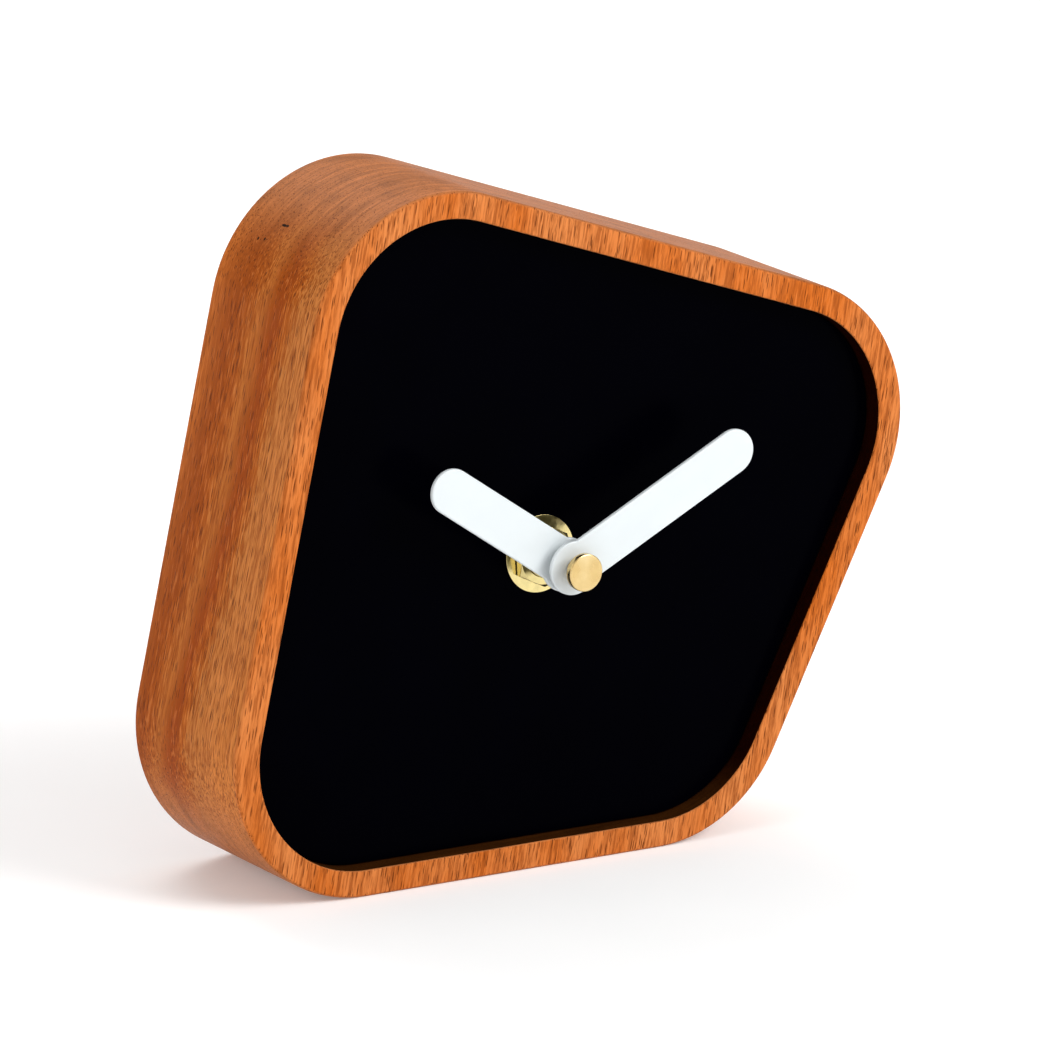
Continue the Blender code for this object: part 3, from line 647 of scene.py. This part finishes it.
# brass washer and nut
brassLook = {"colour": (0.72, 0.60, 0.27), "vary": 0.10, "mottle": 700, "rough": (0.10, 0.24), "metal": 1.0,
             "grain": (4000, 4000, 4000), "bump": 0.000002}
brass = simpleFinish("polishedBrass", brassLook)
fasteningSettings = {
    "washerBore": 0.0042,
    "washerArris": 0.00010,
    "nutRadius": 0.0063,
    "nutAngle": math.radians(34.2),
    "nutBore": 0.0041,
    "nutArris": 0.00008,
    "coneShare": 0.98,
}


def makeWasher():
    low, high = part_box("fixing_washer")
    radius = (high.x - low.x) / 2
    washer = addCylinder(radius, low.y, high.y, vertices=128)
    boreThrough(washer, radius - fasteningSettings["washerBore"])
    roundEdges(washer, sharp, fasteningSettings["washerArris"], 2)
    finishPiece(washer, "brassWasher", "case", [brass], ["fixing_washer"])


def makeNut():
    s = fasteningSettings
    low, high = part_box("fixing_nut")
    nut = addCylinder(s["nutRadius"], low.y, high.y, vertices=6)
    corner = nut.data.vertices[0].co
    now = math.atan2(corner.z - shaftZ, corner.x - shaftX)
    startEdit(nut)
    turnAbout(s["nutAngle"] - now, (shaftX, low.y, shaftZ))
    endEdit()
    # the six corners are turned off at the front by a cone
    cone = addCylinder(s["nutRadius"] + 0.0001, low.y, high.y)
    flat = s["nutRadius"] * math.cos(math.pi / 6)
    coneWidth = s["nutRadius"] - flat * s["coneShare"]
    roundEdges(cone, lambda edge: abs(middle(edge).y - low.y) < near, coneWidth, 1)
    cutWith(nut, cone, "INTERSECT")
    cutWith(nut, addCylinder(s["nutBore"], low.y - past, high.y + past, vertices=64))
    roundEdges(nut, lambda edge: sharp(edge, 25), s["nutArris"], 2)
    finishPiece(nut, "hexNut", "case", [brass], ["fixing_nut"])


makeWasher()
makeNut()
print("fastenings made")

# the hands; angles run clockwise from twelve
handSettings = {
    "width": 0.0088,
    "hubRadius": 0.0052,
    "round": 0.00032,
    "hour": {"node": "hour_hand", "body": "hour", "reach": 0.0308, "angle": math.radians(-56.1),
             "bore": 0.00265},
    "minute": {"node": "minute_hand", "body": "minute", "reach": 0.0395, "angle": math.radians(62.9),
               "bore": 0.00175},
}
handLook = {"colour": (0.67, 0.715, 0.73), "vary": 0.015, "mottle": 120, "rough": (0.34, 0.42),
            "specular": 0.4, "grain": (2500, 2500, 2500), "bump": 0.000002}
handWhite = simpleFinish("satinWhite", handLook)


def makeHand(name, setting):
    low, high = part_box(setting["node"])
    half = handSettings["width"] / 2
    along = math.pi / 2 - setting["angle"]
    hub = handSettings["hubRadius"]
    shoulder = math.asin(half / hub)
    tipX = shaftX + setting["reach"] * math.cos(along)
    tipZ = shaftZ + setting["reach"] * math.sin(along)
    arcs = ((tipX, tipZ, half, along - math.pi / 2, math.pi, 32),
            (shaftX, shaftZ, hub, along + shoulder, 2 * math.pi - 2 * shoulder, 56))
    hand = drawPlate(arcs, low.y, high.y)
    endEdit()
    cutWith(hand, addCylinder(setting["bore"], low.y - past, high.y + past, vertices=48))
    roundEdges(hand, lambda edge: sharp(edge) and runInDepth(edge) < near
               and fromShaft(middle(edge)) > setting["bore"] * 1.2, handSettings["round"], 4)
    finishPiece(hand, name, setting["body"], [handWhite], [setting["node"]])


makeHand("hourHand", handSettings["hour"])
makeHand("minuteHand", handSettings["minute"])
print("hands made")

# the turned nut that caps the shaft
capSettings = {"chamfer": 0.00025, "headArris": 0.00012, "neck": 0.0020, "head": 0.0014, "bore": 0.0013,
               "boreFloor": 0.0011}
turnedBrassLook = {
    "smudges": ((0.3, (0.62, 0.43, 0.17)), (0.55, (0.70, 0.52, 0.24)), (0.8, (0.77, 0.61, 0.33))),
    "smudgeScale": (230, 230, 230),
    "rough": (0.30, 0.20),
    "toolMark": 0.00016,
    "bump": 0.000002,
}


def turnedBrassFinish(name, look):
    # faint concentric tool marks round the shaft
    material, nodes, links, shader = newMaterial(name)
    place = coordinates(nodes, links)
    squares = []
    for side, centre in (("X", shaftX), ("Z", shaftZ)):
        offset = maths(nodes, links, "SUBTRACT", place[side], centre)
        squares.append(maths(nodes, links, "MULTIPLY", offset, offset))
    radius = maths(nodes, links, "SQRT", maths(nodes, links, "ADD", *squares))
    rings = maths(nodes, links, "MULTIPLY", radius, 2 * math.pi / look["toolMark"])
    rings = maths(nodes, links, "SINE", rings)
    smudge = noise(nodes, links, look["smudgeScale"])
    links.new(ramp(nodes, links, smudge, look["smudges"]), shader.inputs["Base Color"])
    links.new(ranged(nodes, links, smudge, 0.3, 0.7, *look["rough"]), shader.inputs["Roughness"])
    shader.inputs["Metallic"].default_value = 1.0
    shader.inputs["Anisotropic"].default_value = 0.6
    tangent = nodes.new("ShaderNodeTangent")
    tangent.direction_type = "RADIAL"
    tangent.axis = "Y"
    links.new(tangent.outputs["Tangent"], shader.inputs["Tangent"])
    addBump(nodes, links, shader, rings, look["bump"], 0.5)
    return material


turnedBrass = turnedBrassFinish("turnedBrass", turnedBrassLook)


def makeCap():
    s = capSettings
    low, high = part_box("cap_nut")
    radius = (high.x - low.x) / 2
    cap = addCylinder(radius, low.y, low.y + s["head"])
    startEdit(cap)
    pick(cap, "FACE", lambda face: face.normal.y > 0.99)
    bpy.ops.mesh.inset(thickness=radius - s["neck"])
    extrude(y=high.y - low.y - s["head"])
    bpy.ops.mesh.inset(thickness=s["neck"] - s["bore"])
    extrude(y=low.y + s["boreFloor"] - high.y)
    endEdit()
    roundEdges(cap, lambda edge: sharp(edge) and middle(edge).y < low.y + near, s["chamfer"], 3)
    roundEdges(cap, lambda edge: sharp(edge) and abs(middle(edge).y - low.y - s["head"]) < near
               and fromShaft(middle(edge)) > s["neck"] * 1.2, s["headArris"], 2)
    finishPiece(cap, "capNut", "minute", [turnedBrass], ["cap_nut"])


makeCap()
print("cap nut made")

# finishes of the movement's own parts
whitePlastic = simpleFinish("whitePlastic", {
    "colour": (0.78, 0.78, 0.73), "vary": 0.03, "mottle": 300, "rough": (0.38, 0.50),
    "grain": (5000, 5000, 5000), "bump": 0.000003})
blackPlastic = simpleFinish("blackPlastic", {
    "colour": (0.014, 0.014, 0.015), "vary": 0.15, "mottle": 200, "rough": (0.42, 0.55),
    "grain": (4500, 4500, 4500), "bump": 0.000008})
naturalPlastic = simpleFinish("naturalPlastic", {
    "colour": (0.62, 0.60, 0.52), "vary": 0.04, "mottle": 250, "rough": (0.40, 0.52),
    "grain": (4500, 4500, 4500), "bump": 0.000004})
steel = simpleFinish("nickelSteel", {
    "colour": (0.60, 0.60, 0.59), "vary": 0.08, "mottle": 500, "rough": (0.22, 0.36), "metal": 1.0,
    "grain": (300, 6000, 6000), "bump": 0.000002})
wire = simpleFinish("copperWire", {
    "colour": (0.66, 0.24, 0.08), "vary": 0.12, "mottle": 900, "rough": (0.25, 0.35), "metal": 1.0,
    "grain": (9000, 60, 60), "bump": 0.00003})
board = simpleFinish("circuitBoard", {
    "colour": (0.045, 0.22, 0.08), "vary": 0.25, "mottle": 900, "rough": (0.30, 0.45),
    "grain": (1200, 1200, 1200), "bump": 0.00001})
rubber = simpleFinish("rubberSheet", {
    "colour": (0.018, 0.018, 0.019), "vary": 0.2, "mottle": 400, "rough": (0.70, 0.85),
    "grain": (3000, 3000, 3000), "bump": 0.00002})
wrapLook = {"body": (0.035, 0.075, 0.17), "end": (0.30, 0.31, 0.31), "border": 0.0065, "lineAway": 0.0014,
            "lineHalf": 0.00030, "soft": 0.00005, "rough": (0.18, 0.28), "wrinkle": (180, 900, 900),
            "bump": 0.00002}


def bandedFilm(name, look):
    # printed film: a coloured body, a thin line and a silver end
    material, nodes, links, shader = newMaterial(name)
    along = coordinates(nodes, links)["X"]
    mottle = noise(nodes, links, (250, 250, 250), 3)
    body = ramp(nodes, links, mottle, ((0.3, look["body"]), (0.7, tinted(look["body"], 1.25))))
    ends = ramp(nodes, links, mottle, ((0.3, look["end"]), (0.7, tinted(look["end"], 1.1))))
    inEnd = ranged(nodes, links, along, look["border"], look["border"] + look["soft"])
    base = mixColour(nodes, links, inEnd, body, ends)
    gap = maths(nodes, links, "SUBTRACT", along, look["border"] - look["lineAway"])
    gap = maths(nodes, links, "ABSOLUTE", gap)
    line = ranged(nodes, links, gap, look["lineHalf"], look["lineHalf"] + look["soft"], 1.0, 0.0)
    links.new(mixColour(nodes, links, line, base, look["end"]), shader.inputs["Base Color"])
    links.new(ranged(nodes, links, mottle, 0.3, 0.7, *look["rough"]), shader.inputs["Roughness"])
    addBump(nodes, links, shader, noise(nodes, links, look["wrinkle"]), look["bump"])
    return material


bandedWrap = bandedFilm("bandedWrap", wrapLook)
print("movement finishes ready")

# the threaded bush
bushSettings = {"bore": 0.0028, "crest": 0.0040, "root": 0.00368, "flange": 0.0055, "flangeThick": 0.0006,
                "pitch": 0.0006, "lead": 0.0002, "plain": 0.0018}


def makeBush():
    s = bushSettings
    front, back = (corner.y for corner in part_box("threaded_bush"))
    points = [(s["bore"], front), (s["root"], front)]
    crest = front + s["lead"]
    while crest < back - s["flangeThick"] - s["plain"]:
        points += [(s["crest"], crest), (s["crest"], crest + s["pitch"] * 0.2),
                   (s["root"], crest + s["pitch"] * 0.6)]
        crest += s["pitch"]
    shoulder = back - s["flangeThick"]
    points += [(s["root"], shoulder), (s["flange"], shoulder), (s["flange"], back), (s["bore"], back)]
    bush = turnSection(points)
    finishPiece(bush, "threadedBush", "case", [brass], ["threaded_bush"], 30)


makeBush()
print("bush made")

# the movement's case, which shows from behind; the arrows are placed from the knob, the rest from the shaft
shellSettings = {
    "edge": 0.00030,
    "coverEdge": 0.00024,
    "rooted": 0.0003,
    "ring": {"outer": 0.0074, "inner": 0.0064, "height": 0.0005, "round": 0.00015},
    "arrow": {"radius": 0.0013, "aside": 0.0040, "above": 0.0089, "height": 0.0005, "round": 0.00012},
    "panel": {"left": -0.0225, "right": -0.0015, "low": 0.0030, "high": 0.0215, "height": 0.00035,
              "corner": 0.0012, "round": 0.00012},
    "rib": {"count": 5, "left": 0.0075, "low": 0.0153, "long": 0.0150, "thick": 0.0008, "step": 0.0021,
            "height": 0.00040, "round": 0.00015},
    "tab": {"middles": (-0.0165, 0.0165), "width": 0.0060, "drop": 0.0014, "inset": 0.0002,
            "height": 0.00055, "round": 0.00025},
}
knobLow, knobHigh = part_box("setting_knob")
knobX, knobZ = (knobLow.x + knobHigh.x) / 2, (knobLow.z + knobHigh.z) / 2


def makeShell():
    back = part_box("movement_case")[1].y
    shell = copyNode("movement_case")
    roundEdges(shell, lambda edge: liesAt(edge, back) and sharp(edge), shellSettings["edge"], 2)
    finishPiece(shell, "movementShell", "case", [blackPlastic], ["movement_case"], 30)


def makeCover():
    s = shellSettings
    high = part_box("movement_cover")[1]
    back = high.y
    root = back - s["rooted"]
    cover = copyNode("movement_cover")
    roundEdges(cover, lambda edge: liesAt(edge, back) and sharp(edge), s["coverEdge"], 2)

    def join(raised, setting, segments=2):
        top = back + setting["height"]
        roundEdges(raised, lambda edge: liesAt(edge, top), setting["round"], segments)
        cutWith(cover, raised, "UNION")

    # a raised ring keeps the setting knob from being knocked
    ring = s["ring"]
    collar = addCylinder(ring["outer"], root, back + ring["height"], knobX, knobZ)
    roundEdges(collar, lambda edge: liesAt(edge, back + ring["height"]), ring["round"], 2)
    cutWith(collar, addCylinder(ring["inner"], root - past, back + 2 * past, knobX, knobZ))
    cutWith(cover, collar, "UNION")
    # two arrow heads above it show that it turns both ways
    arrow = s["arrow"]
    for side in (-1, 1):
        x, z = knobX + side * arrow["aside"], knobZ + arrow["above"]
        head = addCylinder(arrow["radius"], root, back + arrow["height"], x, z, vertices=3)
        startEdit(head)
        turnAbout(-side * math.pi / 2, (x, back, z))
        endEdit()
        join(head, arrow, 1)
    # a plain raised panel beside the knob, grip ribs above it and two tabs at the top
    panel = s["panel"]
    plate = addBlock((shaftX + panel["left"], root, shaftZ + panel["low"]),
                     (shaftX + panel["right"], back + panel["height"], shaftZ + panel["high"]))
    roundEdges(plate, lambda edge: runInDepth(edge) > near, panel["corner"], 6)
    join(plate, panel)
    rib = s["rib"]
    left = shaftX + rib["left"]
    for step in range(rib["count"]):
        z = shaftZ + rib["low"] + step * rib["step"]
        join(addBlock((left, root, z), (left + rib["long"], back + rib["height"], z + rib["thick"])), rib)
    tab = s["tab"]
    for x in tab["middles"]:
        low = (shaftX + x - tab["width"] / 2, root, high.z - tab["drop"])
        top = (shaftX + x + tab["width"] / 2, back + tab["height"], high.z - tab["inset"])
        join(addBlock(low, top), tab)
    finishPiece(cover, "movementCover", "case", [blackPlastic], ["movement_cover"], 30)


knobSettings = {"headLong": 0.0025, "neck": 0.004, "rim": 0.0012, "dish": 0.0006, "step": 0.0003,
                "round": 0.00018}


def makeKnob():
    s = knobSettings
    knob = copyNode("setting_knob")
    back = knobHigh.y
    front = back - s["headLong"]

    def headEdge(edge):
        onHead = math.hypot(middle(edge).x - knobX, middle(edge).z - knobZ) > s["neck"]
        return onHead and sharp(edge, 50) and (liesAt(edge, back) or liesAt(edge, front))

    startEdit(knob)
    pick(knob, "FACE", lambda face: face.normal.y > 0.99 and middle(face).y > back - 2 * near)
    bpy.ops.mesh.inset(thickness=s["rim"])
    extrude(y=-s["dish"])
    bpy.ops.mesh.inset(thickness=s["step"])
    endEdit()
    roundEdges(knob, headEdge, s["round"], 2)
    finishPiece(knob, "settingKnob", "knob", [blackPlastic], ["setting_knob"], 24)


makeShell()
makeCover()
makeKnob()
print("movement case made")

# the battery
cellSettings = {"nub": 0.0026, "nubLong": 0.0010, "shoulder": 0.00045, "groove": 0.0009,
                "grooveDeep": 0.00035, "base": 0.0018, "baseDeep": 0.0003, "arris": 0.00020,
                "wrapInner": 0.0070, "wrapEdge": 0.000108}


def makeCell():
    s = cellSettings
    low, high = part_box("battery_cell")
    y, z = (low.y + high.y) / 2, (low.z + high.z) / 2
    radius = (high.z - low.z) / 2
    face = high.x - s["nubLong"]
    can = addBar(radius, low.x, face, y, z)
    startEdit(can)
    pick(can, "FACE", lambda f: f.normal.x > 0.99)
    bpy.ops.mesh.inset(thickness=s["groove"])
    extrude(-s["grooveDeep"])
    bpy.ops.mesh.inset(thickness=radius - s["groove"] - s["nub"])
    extrude(s["nubLong"] + s["grooveDeep"])
    pick(can, "FACE", lambda f: f.normal.x < -0.99)
    bpy.ops.mesh.inset(thickness=s["base"])
    extrude(s["baseDeep"])
    endEdit()

    def fromAxis(point):
        return math.hypot(point.y - y, point.z - z)

    roundEdges(can, lambda edge: sharp(edge) and fromAxis(middle(edge)) > radius * 0.97, s["shoulder"], 4)
    roundEdges(can, lambda edge: sharp(edge, 60), s["arris"], 3)
    # a white seal lies at the bottom of the groove
    can.data.materials.append(steel)
    can.data.materials.append(whitePlastic)
    sealX = face - s["grooveDeep"]
    for polygon in can.data.polygons:
        inGroove = abs(polygon.center.x - sealX) < s["grooveDeep"] * 0.3
        if polygon.normal.x > 0.99 and inGroove and fromAxis(polygon.center) < radius - s["groove"]:
            polygon.material_index = 1
    finishPiece(can, "batteryCell", "battery", (), ["battery_cell"])
    low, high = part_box("battery_wrap")
    radius = (high.z - low.z) / 2
    wrap = addBar(radius, low.x, high.x, y, z)
    boreThrough(wrap, radius - s["wrapInner"], "x")
    roundEdges(wrap, sharp, s["wrapEdge"], 3)
    finishPiece(wrap, "batteryWrap", "battery", [bandedWrap], ["battery_wrap"])


makeCell()
print("battery made")

# the frame's other parts keep their shape and get a finish by their slot
slotFinish = {
    "beech": beech, "dial_black": dialBlack, "hand_white": handWhite, "brass": brass,
    "black_plastic": blackPlastic, "white_plastic": whitePlastic, "natural_plastic": naturalPlastic,
    "steel": steel, "copper_wire": wire, "board_green": board, "rubber": rubber,
    "cell_steel": steel, "cell_wrap": bandedWrap,
}
for row in frame["record"]["subparts"]:
    node = frame["nodes"][row["node"]]
    node.material_slots[0].material = slotFinish[row["material_slot"]]
print("frame parts finished")

# floor, light and camera
studioSettings = {
    "floorSize": 8.0,
    "floorGlow": 0.14,
    "farGlow": 0.62,
    "glowStarts": (0.5, 1.3),
    "worldColour": (1.0, 1.0, 1.0),
    "worldStrength": 0.50,
    "seenStrength": 1.0,
    "paper": (0.93, 0.95),
    "lampAim": (0, 0, 0.065),
    "key": {"place": (1.1, -1.5, 1.3), "size": 1.3, "power": 38},
    "left": {"place": (-1.8, -0.3, 0.9), "size": 1.0, "power": 10},
    "top": {"place": (0.2, 1.4, 1.6), "size": 1.2, "power": 16},
}
cameraSettings = {"place": (-0.93680, -1.44047, 0.51941), "aim": (-0.00366, 0.00165, 0.06414),
                  "roll": math.radians(1.129), "lens": 327.08}


def makeStudio():
    s = studioSettings
    bpy.ops.object.select_all(action="DESELECT")
    bpy.ops.mesh.primitive_plane_add(size=s["floorSize"], location=(0, 0, 0))
    floor = bpy.context.object
    floor.name = "studioFloor"
    material, nodes, links, shader = newMaterial("palePaper")
    dark, light = ((shade, shade, shade) for shade in s["paper"])
    paper = ramp(nodes, links, noise(nodes, links, (40, 40, 40), 3), ((0.3, dark), (0.7, light)))
    links.new(paper, shader.inputs["Base Color"])
    shader.inputs["Roughness"].default_value = 0.9
    shader.inputs["Specular IOR Level"].default_value = 0.1
    shader.inputs["Emission Color"].default_value = (1, 1, 1, 1)
    # far out, where the lamps don't reach, the floor glows enough to stay white
    where = nodes.new("ShaderNodeTexCoord")
    away = nodes.new("ShaderNodeVectorMath")
    away.operation = "LENGTH"
    links.new(where.outputs["Object"], away.inputs[0])
    glow = ranged(nodes, links, away.outputs["Value"], *s["glowStarts"], s["floorGlow"], s["farGlow"])
    links.new(glow, shader.inputs["Emission Strength"])
    floor.data.materials.append(material)
    scene = bpy.context.scene
    world = bpy.data.worlds.new("studio")
    world.use_nodes = True
    background = world.node_tree.nodes["Background"]
    background.inputs["Color"].default_value = (*s["worldColour"], 1)
    # the room lights softly, and looks as white as the floor where it is seen past the floor's edge
    links = world.node_tree.links
    ray = world.node_tree.nodes.new("ShaderNodeLightPath")
    strength = world.node_tree.nodes.new("ShaderNodeMapRange")
    strength.inputs["To Min"].default_value = s["worldStrength"]
    strength.inputs["To Max"].default_value = s["seenStrength"]
    links.new(ray.outputs["Is Camera Ray"], strength.inputs["Value"])
    links.new(strength.outputs["Result"], background.inputs["Strength"])
    scene.world = world
    for name in ("key", "left", "top"):
        light = s[name]
        bpy.ops.object.light_add(type="AREA", location=light["place"])
        lamp = bpy.context.object
        lamp.name = name + "Softbox"
        lamp.data.shape = "SQUARE"
        lamp.data.size = light["size"]
        lamp.data.energy = light["power"]
        aim = Vector(s["lampAim"]) - Vector(light["place"])
        lamp.rotation_euler = aim.to_track_quat("-Z", "Y").to_euler()
    scene.view_settings.view_transform = "Standard"
    scene.view_settings.look = "None"


def makeCamera():
    s = cameraSettings
    bpy.ops.object.camera_add(location=s["place"])
    camera = bpy.context.object
    camera.name = "viewCamera"
    look = (Vector(s["aim"]) - Vector(s["place"])).to_track_quat("-Z", "Y")
    camera.rotation_mode = "QUATERNION"
    camera.rotation_quaternion = look @ Quaternion((0, 0, 1), s["roll"])
    camera.data.sensor_width = 36
    camera.data.sensor_fit = "HORIZONTAL"
    camera.data.lens = s["lens"]
    camera.data.clip_start = 0.05
    camera.data.clip_end = 50
    bpy.context.scene.camera = camera


makeStudio()
makeCamera()
print("studio ready")
